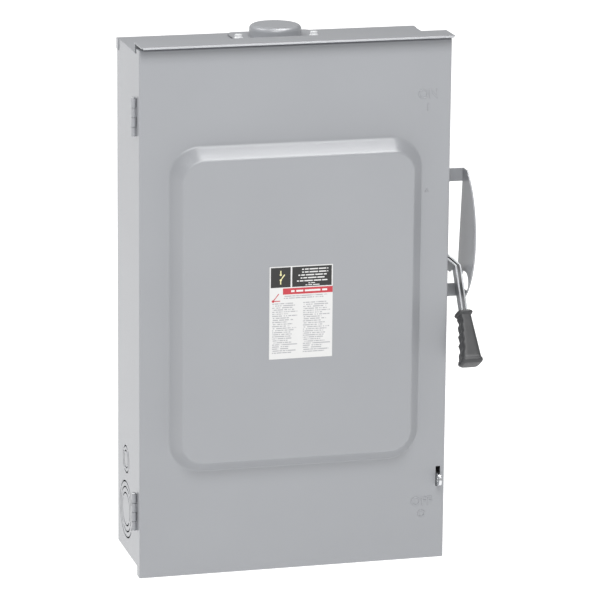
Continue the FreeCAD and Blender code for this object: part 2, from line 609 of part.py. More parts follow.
def mechanism_bracket():
    """Stiffener plate inside the side wall, with a turned-in ear that anchors the spring."""
    plate = box(BRACKET_X, IN_HALF, PIVOT_Y - 30, PIVOT_Y + 34, PIVOT_Z - 32, PIVOT_Z + 32)
    ear = box(CRANK_X + 4, IN_HALF, PIVOT_Y + 31.5, PIVOT_Y + 34, PIVOT_Z - 12, PIVOT_Z + 12)
    hole = rod("x", (0, PIVOT_Y, PIVOT_Z), BUSH_R, BRACKET_X - 1, IN_HALF + 1)
    return plate.fuse(ear).cut(hole)


def kicker_spring():
    """Torsion spring around the shaft, with a straight leg that rests on the bracket's ear."""
    wire, radius, turns = 2.2, 12.0, 3
    body = coil(radius, wire, wire + 0.3, turns, (0, 0, 0))
    leg = Part.makeCylinder(wire / 2, 31.0 - wire / 2, V(radius, 0, 0), V(0, 1, 0))
    spring = body.fuse(leg)
    spring.rotate(V(0, 0, 0), V(0, 1, 0), 90)
    spring.translate(V(CRANK_X + LINK_T + 3, PIVOT_Y, PIVOT_Z))
    return spring


BRACKET_X = IN_HALF - 2.5
save("shaft_bushing", shaft_bushing())
save("mechanism_bracket", mechanism_bracket())
save("kicker_spring", kicker_spring())


# ---------------------------------------------------------------- drive link and blade rotor
def link_ends():
    """Places of the crank pin and of the rotor pin when the switch is off."""
    angle = math.radians(CRANK_OFF)
    step_y, step_z = -CRANK_R * math.cos(angle), CRANK_R * math.sin(angle)
    return (PIVOT_Y + step_y, PIVOT_Z + step_z), (ROTOR_Y + step_y, ROTOR_Z + step_z)


def slanted_bar(start, end, half, x0, x1):
    """Flat bar with round ends between two points of a plane across X."""
    dy, dz = end[0] - start[0], end[1] - start[1]
    length = math.hypot(dy, dz)
    ny, nz = -dz / length * half, dy / length * half
    corners = [(start[0] + ny, start[1] + nz), (end[0] + ny, end[1] + nz),
               (end[0] - ny, end[1] - nz), (start[0] - ny, start[1] - nz)]
    ends = [rod("x", (0, *point), half, x0, x1) for point in (start, end)]
    return join([prism(corners, "x", x0, x1)] + ends)


def drive_link():
    """Link from the crank to the rotor arm; its rotor end has an easy hole."""
    crank_end, rotor_end = link_ends()
    plate = slanted_bar(crank_end, rotor_end, 8.0, LINK_X, LINK_X + LINK_T)
    tight = rod("x", (0, *crank_end), LINK_PIN_R + RUN, LINK_X - 1, LINK_X + LINK_T + 1)
    easy = rod("x", (0, *rotor_end), LINK_PIN_R + 0.4, LINK_X - 1, LINK_X + LINK_T + 1)
    return cut(plate, [tight, easy])


def on_blade(shape):
    """Turn a shape drawn on an upright blade to the blade's off angle."""
    return turned(shape, ROTOR_Y, ROTOR_Z, 90 + BLADE_OFF)


def blade(x):
    """Knife blade with a bevelled tip and its own hinge pin."""
    half = BLADE_W / 2
    outline = [(-half, -10), (half, -10), (half, BLADE_L - 6), (half - 6, BLADE_L), (-half, BLADE_L)]
    plate = prism([(ROTOR_Y + a, ROTOR_Z + b) for a, b in outline], "x", x - BLADE_T / 2, x + BLADE_T / 2)
    pin = rod("x", (0, ROTOR_Y, ROTOR_Z), 3.0, x - 6.5, x + 6.5)
    return on_blade(plate.fuse(pin))


def crossbar():
    """Insulating bar that carries all three blades, with the steel-pinned arm at its end."""
    mid = ROTOR_Z + BAR_AT
    beam = box(POLES[0] - 20, ARM_X + 1, ROTOR_Y - BAR_WIDE / 2, ROTOR_Y + BAR_WIDE / 2,
               mid - BAR_RADIAL / 2, mid + BAR_RADIAL / 2)
    slots = [box(x - BLADE_T / 2, x + BLADE_T / 2, ROTOR_Y - BLADE_W / 2, ROTOR_Y + BLADE_W / 2,
                 mid - BAR_RADIAL, mid + BAR_RADIAL) for x in POLES]
    arm = slanted_bar((ROTOR_Y, ROTOR_Z), (ROTOR_Y, mid), 11.0, ARM_X, ARM_X + LINK_T)
    whole = on_blade(cut(beam.fuse(arm), slots))
    rotor_end = link_ends()[1]
    ear = slanted_bar((ROTOR_Y, ROTOR_Z), rotor_end, 8.0, ARM_X, ARM_X + LINK_T)
    pin = rod("x", (0, *rotor_end), LINK_PIN_R, ARM_X, LINK_X + LINK_T)
    return join([whole, ear, pin])


save("drive_link", drive_link())
save("crossbar", crossbar())
for number, pole in enumerate(POLES, 1):
    save("switch_blade_%d" % number, blade(pole))


# ---------------------------------------------------------------- switch base and live parts
def switch_base():
    """Moulded base of the switch with barrier ribs between the poles."""
    slab = box(-BASE_HALF, BASE_HALF, BASE_FRONT, BACK_IN, 62, 246)
    ribs = [box(x - 2, x + 2, BASE_FRONT - 34, BASE_FRONT, 147, 246)
            for x in (-40, 40, -BASE_HALF + 2, BASE_HALF - 2)]
    return join([slab] + ribs)


def fuse_base():
    """Moulded base under the fuse clips with low barrier ribs."""
    slab = box(-BASE_HALF, BASE_HALF, BASE_FRONT, BACK_IN, -226, 60)
    ribs = [box(x - 2, x + 2, BASE_FRONT - 22, BASE_FRONT, -216, 52) for x in (-40, 40)]
    return join([slab] + ribs)


def leaves(x, gap, thick, reach, z0, z1):
    """Pair of contact leaves standing on a strap, a gap apart."""
    return [box(x - gap / 2 - thick, x - gap / 2, -reach, STRAP_FRONT, z0, z1),
            box(x + gap / 2, x + gap / 2 + thick, -reach, STRAP_FRONT, z0, z1)]


def strap(x, z0, z1):
    """Flat copper strap on the face of a base."""
    return box(x - STRAP_W / 2, x + STRAP_W / 2, STRAP_FRONT, BASE_FRONT, z0, z1)


def line_terminal(x):
    """Line strap with the jaws that receive the blade."""
    return join([strap(x, 150, 240)] + leaves(x, BLADE_T + 2 * CONTACT_GAP, 2.2, 70, 150, 176))


def hinge_jaw(x):
    """Load strap with the blade's hinge ears above and the upper fuse clip below."""
    ears = leaves(x, BLADE_T + 2 * CONTACT_GAP, 2.2, 60, 88, 112)
    clip = leaves(x, FUSE_BLADE_T + 0.1, 2.2, 66, 13, 39)
    hole = rod("x", (0, ROTOR_Y, ROTOR_Z), 3.0 + RUN, x - 20, x + 20)
    lower = box(x - STRAP_W / 2, x + STRAP_W / 2, STRAP_FRONT, BASE_FRONT, 12, 62)
    return join([strap(x, 62, 114), lower] + ears + clip).cut(hole)


def lower_clip(x):
    """Load strap with the lower fuse clip and the landing of the load lug."""
    return join([strap(x, -206, -116)] + leaves(x, FUSE_BLADE_T + 0.1, 2.2, 66, -142, -116))


def lug(x, z_mid, front):
    """Aluminium wire lug: bore along Z for the conductor, tapped hole in front for the screw."""
    block = box(x - LUG_W / 2, x + LUG_W / 2, front - LUG_D, front, z_mid - LUG_H / 2, z_mid + LUG_H / 2)
    top = [e for e in block.Edges
           if abs(e.tangentAt(e.FirstParameter).z) > 0.9 and e.CenterOfMass.y < front - 2]
    block = block.makeFillet(5.0, top)
    bore = rod("z", (x, front - LUG_D / 2 + 1, 0), LUG_BORE, z_mid - LUG_H, z_mid + LUG_H)
    screw = rod("y", (x, 0, z_mid), LUG_SCREW_R + 0.1, front - LUG_D - 1, front - LUG_D / 2)
    return cut(block, [bore, screw])


def lug_screw(x, z_mid, front):
    """Socket set screw in a lug."""
    head = front - LUG_D
    stud = rod("y", (x, 0, z_mid), LUG_SCREW_R, head - 3, head + 4)
    corners = [(x + 2.8 * math.cos(math.radians(60 * k)), z_mid + 2.8 * math.sin(math.radians(60 * k)))
               for k in range(6)]
    return stud.cut(prism(corners, "y", head - 4, head + 1.5))


LINE_LUG_Z, LOAD_LUG_Z = 216.0, -184.0
screws = []
save("switch_base", switch_base())
save("fuse_base", fuse_base())
for number, pole in enumerate(POLES, 1):
    save("line_terminal_%d" % number, line_terminal(pole))
    save("hinge_jaw_%d" % number, hinge_jaw(pole))
    save("fuse_clip_lower_%d" % number, lower_clip(pole))
    save("line_lug_%d" % number, lug(pole, LINE_LUG_Z, STRAP_FRONT))
    save("load_lug_%d" % number, lug(pole, LOAD_LUG_Z, STRAP_FRONT))
    screws += [lug_screw(pole, LINE_LUG_Z, STRAP_FRONT), lug_screw(pole, LOAD_LUG_Z, STRAP_FRONT)]


# ---------------------------------------------------------------- fuses
def fuse_tube(x):
    """Fibre tube of a knife-blade cartridge fuse."""
    return rod("z", (x, FUSE_Y, 0), FUSE_R, FUSE_Z - FUSE_TUBE / 2, FUSE_Z + FUSE_TUBE / 2)


def fuse_end(x, side):
    """Brass ferrule with its knife blade, at the top (side 1) or bottom (side -1)."""
    end = FUSE_Z + side * FUSE_TUBE / 2
    cap_low, cap_high = sorted((end - side * FERRULE, end + side * 1.2))
    cap = rod("z", (x, FUSE_Y, 0), FUSE_R + 0.7, cap_low, cap_high).cut(fuse_bore(x))
    z0, z1 = sorted((end + side * 1.0, end + side * FUSE_BLADE))
    knife = box(x - FUSE_BLADE_T / 2, x + FUSE_BLADE_T / 2, FUSE_Y - FUSE_BLADE_W / 2,
                FUSE_Y + FUSE_BLADE_W / 2, z0, z1)
    return cap.fuse(knife)


def fuse_bore(x):
    """Room for the tube inside the ferrules."""
    return rod("z", (x, FUSE_Y, 0), FUSE_R, FUSE_Z - FUSE_TUBE / 2, FUSE_Z + FUSE_TUBE / 2)


for number, pole in enumerate(POLES, 1):
    save("fuse_tube_%d" % number, fuse_tube(pole))
    save("fuse_ends_%d" % number, Part.makeCompound([fuse_end(pole, 1), fuse_end(pole, -1)]))


# ---------------------------------------------------------------- neutral, ground and shield
def neutral_insulator():
    """Moulded block that holds the neutral bar off the back panel."""
    return box(NEUTRAL_X - 19, NEUTRAL_X + 19, BACK_IN - 20, BACK_IN, NEUTRAL_Z - 72, NEUTRAL_Z + 72)


def neutral_bar():
    """Neutral bar with a large lug at each end."""
    front = BACK_IN - 20
    plate = box(NEUTRAL_X - 15, NEUTRAL_X + 15, front - 4, front,
                NEUTRAL_Z - NEUTRAL_H / 2, NEUTRAL_Z + NEUTRAL_H / 2)
    lugs = [lug(NEUTRAL_X, NEUTRAL_Z + s * 46, front - 4) for s in (-1, 1)]
    return join([plate] + lugs)


def ground_bar():
    """Ground bar on the back panel with six small wire holes."""
    bar_block = box(GROUND_X0, GROUND_X1, BACK_IN - 12, BACK_IN, GROUND_Z - 7, GROUND_Z + 7)
    tools = []
    for x in ground_places():
        tools.append(rod("z", (x, BACK_IN - 6, 0), 2.9, GROUND_Z - 8, GROUND_Z + 8))
        tools.append(rod("y", (x, 0, GROUND_Z), 2.5, BACK_IN - 13, BACK_IN - 7))
    return cut(bar_block, tools)


def ground_places():
    """Places of the ground bar's wires along X."""
    return [GROUND_X0 + 9 + 14 * k for k in range(6)]


def ground_screw(x):
    """Slotted screw in the ground bar."""
    head = BACK_IN - 12
    stud = rod("y", (x, 0, GROUND_Z), 2.4, head, head + 3.5)
    stud = stud.fuse(rod("y", (x, 0, GROUND_Z), 4.0, head - 2.4, head))
    return stud.cut(box(x - 5, x + 5, head - 3, head - 1.4, GROUND_Z - 0.5, GROUND_Z + 0.5))


def line_shield():
    """Moulded shield over the line lugs, held by its side legs on the switch base."""
    face = box(-BASE_HALF - 2.5, BASE_HALF + 2.5, -84, -81.5, 182, 258)
    legs = [box(x0, x1, -84, BASE_FRONT + 14, 200, 240)
            for x0, x1 in ((-BASE_HALF - 2.5, -BASE_HALF), (BASE_HALF, BASE_HALF + 2.5))]
    brow = box(-BASE_HALF - 2.5, BASE_HALF + 2.5, -84, -62, 255.5, 258)
    vents = [box(x - 9, x + 9, -90, -80, z - 2.2, z + 2.2) for x in POLES for z in (192, 240)]
    return cut(join([face, brow] + legs), vents)


def base_screw(x, z):
    """Pan-head screw that holds a base to the back panel."""
    head = rod("y", (x, 0, z), 5.5, BASE_FRONT - 3, BASE_FRONT)
    rim = [e for e in head.Edges if len(e.Vertexes) == 1 and e.CenterOfMass.y < BASE_FRONT - 1]
    head = head.makeFillet(1.8, rim)
    cross = [box(x - 3, x + 3, BASE_FRONT - 4, BASE_FRONT - 1.5, z - 0.6, z + 0.6),
             box(x - 0.6, x + 0.6, BASE_FRONT - 4, BASE_FRONT - 1.5, z - 3, z + 3)]
    return cut(head, cross)


GROUND_X0, GROUND_X1, GROUND_Z = 96.0, 184.0, -268.0
save("neutral_insulator", neutral_insulator())
save("neutral_bar", neutral_bar())
save("ground_bar", ground_bar())
save("line_shield", line_shield())
neutral_front = BACK_IN - 24
screws += [lug_screw(NEUTRAL_X, NEUTRAL_Z + s * 46, neutral_front) for s in (-1, 1)]
screws += [ground_screw(x) for x in ground_places()]
save("wire_screws", Part.makeCompound(screws))
save("base_screws", Part.makeCompound(
    [base_screw(x, z) for x in (-112, 112) for z in (78, 130, 46, -212)]))


# ---------------------------------------------------------------- door latch
def latch_hook():
    """Sliding hasp plate: a round nose with the padlock hole stands out through the door slot."""
    radius = HOOK_H / 2
    x0, x1 = HOOK_X - HOOK_T / 2, HOOK_X + HOOK_T / 2
    centre = -HOOK_TIP + radius
    plate = box(x0, x1, centre, -HOOK_BACK, HOOK_Z - radius, HOOK_Z + radius)
    nose = rod("x", (0, centre, HOOK_Z), radius, x0, x1)
    hole = rod("x", (0, centre, HOOK_Z), PADLOCK_R, x0 - 1, x1 + 1)
    return join([plate, nose]).cut(hole)


def latch_guide():
    """Pressed housing on the outside of the side wall in which the hasp plate slides."""
    room_low, room_high = HOOK_Z - HOOK_H / 2 - 0.4, HOOK_Z + HOOK_H / 2 + 12
    x_in, x_out = HOOK_X - HOOK_T / 2 - 0.4, HOOK_X + HOOK_T / 2 + 0.4
    shell = box(BODY_HALF, x_out + GUIDE_WALL, -GUIDE_FRONT, -GUIDE_BACK, room_low - 3, room_high + 3)
    face = box(BODY_HALF, GUIDE_EDGE, -GUIDE_FRONT - SHEET, -GUIDE_FRONT, room_low - 14, room_high + 6)
    room = box(x_in, x_out, -GUIDE_FRONT - SHEET - 1, -HOOK_BACK + 0.8, room_low, room_high)
    return shell.fuse(face).cut(room)


def latch_spring():
    """Small compression spring that holds the hasp plate down."""
    wire, turns = 0.7, 5
    foot, top = HOOK_Z + HOOK_H / 2, HOOK_Z + HOOK_H / 2 + 12
    room = top - foot - wire
    return coil(1.6, wire, room / turns, turns, (HOOK_X, -105, foot + wire / 2))


save("latch_hook", latch_hook())
save("latch_guide", latch_guide())
save("latch_spring", latch_spring())
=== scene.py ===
import math

import bpy
import numpy as np
from mathutils import Matrix, Vector


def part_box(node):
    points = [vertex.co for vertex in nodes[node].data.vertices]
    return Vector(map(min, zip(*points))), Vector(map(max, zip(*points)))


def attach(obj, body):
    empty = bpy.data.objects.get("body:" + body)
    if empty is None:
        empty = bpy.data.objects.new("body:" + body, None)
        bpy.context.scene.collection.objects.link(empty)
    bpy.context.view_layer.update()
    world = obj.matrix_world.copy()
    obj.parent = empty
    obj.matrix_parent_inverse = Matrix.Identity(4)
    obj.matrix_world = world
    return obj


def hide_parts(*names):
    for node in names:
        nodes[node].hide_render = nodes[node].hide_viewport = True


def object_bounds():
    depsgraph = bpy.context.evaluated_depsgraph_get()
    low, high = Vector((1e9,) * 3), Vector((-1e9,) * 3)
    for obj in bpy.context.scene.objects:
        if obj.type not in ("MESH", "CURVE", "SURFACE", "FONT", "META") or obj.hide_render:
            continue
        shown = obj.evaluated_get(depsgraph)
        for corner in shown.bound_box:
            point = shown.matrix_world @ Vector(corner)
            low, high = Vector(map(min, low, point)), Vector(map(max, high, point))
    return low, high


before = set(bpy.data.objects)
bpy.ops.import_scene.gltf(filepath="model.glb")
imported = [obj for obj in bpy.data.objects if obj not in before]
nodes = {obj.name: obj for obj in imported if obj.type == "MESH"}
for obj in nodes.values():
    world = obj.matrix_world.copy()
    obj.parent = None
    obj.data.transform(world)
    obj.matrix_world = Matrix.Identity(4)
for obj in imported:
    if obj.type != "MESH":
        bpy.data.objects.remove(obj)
cad_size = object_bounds()


# ---- Box, end walls, hood, hinge leaves and guard
# Folded and spot-welded from 1.5 mm sheet steel, then sprayed together with a light grey baked
# enamel. It dries to a satin skin with a fine orange peel and a slight drift in tone.
class Level:
    """One shader socket that Python arithmetic works on: each operator adds its Math node."""

    def __init__(self, finish, socket):
        self.finish, self.socket = finish, socket

    def maths(self, operation, *given):
        return self.finish.node("ShaderNodeMath", {"operation": operation}, dict(enumerate(given)))

    def __add__(self, other):
        return self.maths("ADD", self, other)

    def __sub__(self, other):
        return self.maths("SUBTRACT", self, other)

    def __rsub__(self, other):
        return self.maths("SUBTRACT", other, self)

    def __mul__(self, other):
        return self.maths("MULTIPLY", self, other)

    def __truediv__(self, other):
        return self.maths("DIVIDE", self, other)

    def __lt__(self, other):
        return self.maths("LESS_THAN", self, other)

    def __gt__(self, other):
        return self.maths("GREATER_THAN", self, other)

    def __abs__(self):
        return self.maths("ABSOLUTE", self)

    def __floordiv__(self, other):
        return self.maths("FLOOR", self / other)

    def __mod__(self, other):
        return self.maths("FLOORED_MODULO", self, other)

    def either(self, other):
        return self.maths("MAXIMUM", self, other)

    __radd__, __rmul__ = __add__, __mul__


class Finish:
    """A procedural finish on the piece's own coordinates in metres, built node by node."""

    def __init__(self, name):
        self.material = bpy.data.materials.new(name)
        self.material.use_nodes = True
        self.tree = self.material.node_tree
        self.shader = self.tree.nodes["Principled BSDF"]
        self.place = self.node("ShaderNodeTexCoord", output="Object")

    def node(self, kind, settings=None, inputs=None, output=0):
        """Any node: its type, its settings, then the values or links of its sockets."""
        made = self.tree.nodes.new(kind)
        for key, value in (settings or {}).items():
            setattr(made, key, value)
        for socket, value in (inputs or {}).items():
            if isinstance(value, Level):
                self.tree.links.new(value.socket, made.inputs[socket])
            else:
                made.inputs[socket].default_value = value
        return Level(self, made.outputs[output])

    def noise(self, scale, detail=3.0, stretch=(1, 1, 1)):
        """Soft noise from 0 to 1 with this many features to the metre, stretched per axis."""
        place = self.node("ShaderNodeMapping", inputs={"Vector": self.place, "Scale": stretch})
        return self.node("ShaderNodeTexNoise", inputs={"Vector": place, "Scale": scale, "Detail": detail})

    def blend(self, share, first, second):
        """Colour that goes from the first to the second as the share goes from 0 to 1."""
        return self.node("ShaderNodeMix", {"data_type": "RGBA"}, {0: share, 6: first, 7: second}, output=2)

    def axes(self):
        """X, Y and Z of the point in millimetres."""
        kind, given = "ShaderNodeSeparateXYZ", {0: self.place}
        return [self.node(kind, inputs=given, output=k) * 1000 for k in range(3)]

    def bump(self, height, depth):
        """Surface relief of this depth in metres."""
        return self.node("ShaderNodeBump", inputs={"Height": height, "Distance": depth, "Strength": 1.0})

    def shade(self, **sockets):
        """Sets or links the shader's own sockets, named with _ for a space."""
        for name, value in sockets.items():
            socket = self.shader.inputs[name.replace("_", " ")]
            if isinstance(value, Level):
                self.tree.links.new(value.socket, socket)
            else:
                socket.default_value = value
        return self

    def on(self, *pieces):
        """Puts the finish on these pieces."""
        for piece in pieces:
            if not piece.data.materials:
                piece.data.materials.append(self.material)
            for slot in piece.material_slots:
                slot.material = self.material


enamel = Finish("grey_baked_enamel")
drift, peel = enamel.noise(7.0), enamel.noise(420.0, 2.0)
enamel.shade(
    Base_Color=enamel.blend(drift, (0.285, 0.293, 0.31, 1), (0.315, 0.324, 0.342, 1)),
    Roughness=0.30 + drift * 0.1 + peel * 0.06, Coat_Weight=0.3, Coat_Roughness=0.32,
    Normal=enamel.bump(peel + enamel.noise(1900.0, 1.0) * 0.35, 0.00005))
enamel.on(*[nodes[name] for name in (
    "enclosure_wrap", "top_wall", "bottom_wall", "drip_hood", "box_hinge_upper", "box_hinge_lower",
    "door_hinge_upper", "door_hinge_lower", "handle_guard", "mechanism_bracket", "hub_plate")])


# ---- Hub gasket, screws, rivets and pins
# A moulded rubber ring under the closing plate of the conduit hub, and bright zinc-plated steel
# fasteners, drawn or headed, so the plating keeps faint streaks and a mottled shine.
rubber = Finish("moulded_rubber")
bloom = rubber.noise(160.0)
rubber.shade(
    Base_Color=rubber.blend(bloom, (0.012, 0.012, 0.013, 1), (0.035, 0.035, 0.037, 1)),
    Roughness=0.62 + bloom * 0.2, Normal=rubber.bump(bloom, 0.00005))
rubber.on(nodes["hub_gasket"])


def plated(name, dark, light, shine, streak, metal=1.0):
    """Plated metal: two tones mottled together, streaks along the drawing direction."""
    finish = Finish(name)
    mottle, lines = finish.noise(260.0, 4.0), finish.noise(900.0, 2.0, streak)
    finish.shade(
        Base_Color=finish.blend(mottle * 0.6 + lines * 0.4, (*dark, 1), (*light, 1)), Metallic=metal,
        Roughness=shine + lines * 0.16 + mottle * 0.08, Normal=finish.bump(lines, 0.00002))
    return finish


zinc = plated("bright_zinc_plate", (0.55, 0.56, 0.58), (0.80, 0.81, 0.82), 0.16, (1, 1, 0.12))
zinc.on(*[nodes[name] for name in (
    "hinge_pins", "guard_rivets", "base_screws", "wire_screws", "latch_hook", "latch_spring")])
plated("frosted_zinc_plate", (0.70, 0.71, 0.72), (0.88, 0.89, 0.90), 0.35, (1, 1, 0.3), 0.2).on(
    nodes["hub_screws"])
# The latch guide is coloured near black as painted shade: it stands for the dark inside of the hasp slot.
plated("slot_shade_steel", (0.006, 0.006, 0.007), (0.016, 0.016, 0.018), 0.5, (1, 1, 0.2), 0.0).on(
    nodes["latch_guide"])


# ---- Switch base, fuse base, crossbar, insulator and line shield
# Compression-moulded thermoset, near black with fine pale flecks of filler and a dull skin that
# shows flow marks. The shield over the live line terminals is the same stuff in thin sheet.
def thermoset(name, dark, light):
    """Thermoset moulding: slow flow marks, pale specks of filler, eggshell skin."""
    finish = Finish(name)
    flow, fleck = finish.noise(38.0, 5.0), finish.noise(1300.0, 2.0)
    finish.shade(
        Base_Color=finish.blend(flow * 0.7 + (fleck > 0.66) * 0.3, (*dark, 1), (*light, 1)),
        Roughness=0.42 + flow * 0.2, Normal=finish.bump(fleck + flow, 0.00005))
    return finish


thermoset("black_thermoset", (0.018, 0.018, 0.02), (0.06, 0.06, 0.065)).on(
    nodes["switch_base"], nodes["fuse_base"], nodes["neutral_insulator"])
thermoset("shield_sheet", (0.03, 0.031, 0.034), (0.085, 0.086, 0.09)).on(nodes["line_shield"])
thermoset("crossbar_moulding", (0.11, 0.028, 0.018), (0.2, 0.06, 0.035)).on(nodes["crossbar"])


# ---- Line straps, jaws, blades and fuse clips
# Hard copper strip, punched and folded, then tin plated: a warm silver that the copper shows
# through where the plating is thin.
POLES = ("1", "2", "3")
tinned = plated("tin_plated_copper", (0.62, 0.44, 0.34), (0.80, 0.77, 0.73), 0.24, (1, 1, 0.1))
for kind in ("line_terminal_", "hinge_jaw_", "fuse_clip_lower_", "switch_blade_"):
    tinned.on(*[nodes[kind + pole] for pole in POLES])


# ---- Wire lugs, neutral bar and ground bar
# Cut from extruded aluminium bar, drilled for the wires and tapped for the screws, so long fine
# die lines run up each face.
aluminium = plated("extruded_aluminium", (0.60, 0.61, 0.62), (0.86, 0.86, 0.87), 0.26, (1, 1, 0.05))
aluminium.on(nodes["neutral_bar"], nodes["ground_bar"],
             *[nodes[kind + pole] for kind in ("line_lug_", "load_lug_") for pole in POLES])


# ---- Fuses
# Rolled vulcanised-fibre tube with brass ferrules and knife ends; a paper band with a ruled
# panel is glued round the middle of each tube.
brass = plated("turned_brass", (0.62, 0.44, 0.19), (0.86, 0.68, 0.36), 0.2, (0.1, 1, 1))
brass.on(nodes["shaft_bushing"], *[nodes["fuse_ends_" + pole] for pole in POLES])
tube_low, tube_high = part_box("fuse_tube_1")
band_mid, band_half = (tube_low.z + tube_high.z) * 500, 38.0
fibre = Finish("vulcanised_fibre")
_, _, up = fibre.axes()
from_mid = up - band_mid
wrap = fibre.noise(90.0, 4.0, (1, 1, 6))
paper = (abs(from_mid) < band_half) * 1.0
rules = ((abs(abs(from_mid) - 33.0) < 0.7) + (abs(abs(from_mid) - 13.0) < 0.5)) * paper
tint = fibre.blend(paper, fibre.blend(wrap, (0.30, 0.17, 0.09, 1), (0.48, 0.31, 0.18, 1)),
                   fibre.blend(wrap, (0.66, 0.64, 0.58, 1), (0.76, 0.74, 0.68, 1)))
fibre.shade(Base_Color=fibre.blend(rules, tint, (0.03, 0.09, 0.22, 1)),
            Roughness=0.55 + wrap * 0.15, Normal=fibre.bump(wrap, 0.00008))
fibre.on(*[nodes["fuse_tube_" + pole] for pole in POLES])


# ---- Shaft, spring, drive link and lever
# Machined and stamped steel, zinc plated. The lever is two stamped bars riveted to the shaft
# head; handling has dulled the plating a little.
spring_steel = plated("oiled_spring_steel", (0.16, 0.16, 0.17), (0.36, 0.36, 0.37), 0.3, (1, 1, 0.3))
spring_steel.on(nodes["kicker_spring"])
stamped = plated("dull_zinc_plate", (0.30, 0.31, 0.32), (0.50, 0.51, 0.52), 0.30, (1, 0.3, 0.12))
stamped.on(nodes["lever"], nodes["handle_shaft"], nodes["drive_link"])


# ---- Grip
# Near-black plastic moulded over the end of the lever: a rolled collar, a body that flares
# towards the end, four finger hollows on the side next to the box, a rim and a flat end.
PIVOT, DROP = (-0.082, 0.080), math.radians(58.0)
GRIP_MID = 0.24395
stations = np.array([
    # along, half width, half height
    [0.1165, 0.0060, 0.0095], [0.1165, 0.0085, 0.0112], [0.1175, 0.0102, 0.0127], [0.1195, 0.0110, 0.0135],
    [0.1215, 0.0102, 0.0127], [0.1230, 0.0080, 0.0119], [0.1300, 0.0086, 0.0121], [0.1840, 0.0138, 0.0139],
    [0.1856, 0.0150, 0.0151], [0.1885, 0.0155, 0.0155], [0.1903, 0.0146, 0.0146], [0.1923, 0.0117, 0.0126],
    [0.1925, 0.0108, 0.0117]])


def skin(name, points, finish, joined=True):
    """Mesh over a grid of points, rows by columns. Joined closes each row on itself; the first
    and last rows then get a fan to their middle point, and the faces are turned outwards."""
    rows, columns = points.shape[:2]
    index = np.arange(rows * columns).reshape(rows, columns)
    right = np.roll(index, -1, axis=1) if joined else index[:, 1:]
    left = index if joined else index[:, :-1]
    quads = np.stack([left[:-1], right[:-1], right[1:], left[1:]], axis=-1).reshape(-1, 4)
    flat, faces = points.reshape(-1, 3), quads.tolist()
    if joined:
        flat = np.vstack([flat, points[0].mean(0), points[-1].mean(0)])
        first, last = len(flat) - 2, len(flat) - 1
        faces += np.stack([right[0], left[0], np.full(columns, first)], -1).tolist()
        faces += np.stack([left[-1], right[-1], np.full(columns, last)], -1).tolist()
    mesh = bpy.data.meshes.new(name)
    mesh.from_pydata(flat.tolist(), [], faces)
    mesh.polygons.foreach_set("use_smooth", np.ones(len(mesh.polygons), bool))
    piece = bpy.data.objects.new(name, mesh)
    bpy.context.scene.collection.objects.link(piece)
    finish.on(piece)
    return piece


def grip_surface(stations, columns=96, squareness=5.0):
    """Superellipse sections |x/w|^n + |z/h|^n = 1 carried along the lever; on the side next to
    the box each is drawn in by a row of cosine hollows for the fingers."""
    along = np.interp(np.linspace(0, 1, 150), np.linspace(0, 1, len(stations)), np.arange(len(stations)))
    along, wide, high = (np.interp(along, np.arange(len(stations)), stations[:, k]) for k in range(3))
    turn = np.linspace(0, 2 * np.pi, columns, endpoint=False)
    across = np.sign(np.cos(turn)) * np.abs(np.cos(turn)) ** (2 / squareness)
    upward = np.sign(np.sin(turn)) * np.abs(np.sin(turn)) ** (2 / squareness)
    phase = (along - 0.12575) / 0.0125
    hollow = np.where((phase > 0) & (phase < 4), 0.5 - 0.5 * np.cos(2 * np.pi * phase), 0.0)
    side = np.clip(-across, 0, 1) ** 2
    x = GRIP_MID + wide[:, None] * across + 0.0028 * hollow[:, None] * side
    lift = high[:, None] * upward
    y = PIVOT[0] - along[:, None] * math.cos(DROP) - lift * math.sin(DROP)
    z = PIVOT[1] - along[:, None] * math.sin(DROP) + lift * math.cos(DROP)
    return np.stack([x, y, z], axis=-1)


grip_plastic = Finish("satin_black_plastic")
grain, cloud = grip_plastic.noise(1500.0, 2.0), grip_plastic.noise(50.0)
grip_plastic.shade(
    Base_Color=grip_plastic.blend(cloud, (0.034, 0.035, 0.037, 1), (0.060, 0.061, 0.064, 1)),
    Roughness=0.46 + grain * 0.12, Specular_IOR_Level=0.5, Normal=grip_plastic.bump(grain, 0.00004))
grip = skin("grip_moulding", grip_surface(stations)[::-1], grip_plastic)
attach(grip, "handle")
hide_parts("grip")


# ---- Door
# One steel sheet with a raised middle pressed into it and all four edges folded back, so it
# reads as one skin with soft radii; a slot is punched for the hasp. Same grey enamel.
EDGE_ROOM = Vector((3e-5, 3e-5, 3e-5))
door_low, door_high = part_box("door_panel")
door_low, door_high = door_low + EDGE_ROOM, door_high - EDGE_ROOM
SHEET, FOLD, RISE, SLOPE, PRESS = 0.0015, 0.002, 0.020, 0.016, 0.0017
FACE = -0.1435
PANEL_MID, PANEL_HALF, PANEL_CORNER = (0.006, 0.0046), (0.1755, 0.225), 0.044
SLOT_LOW, SLOT_HIGH = (0.2087, -0.26525), (0.2152, -0.23675)


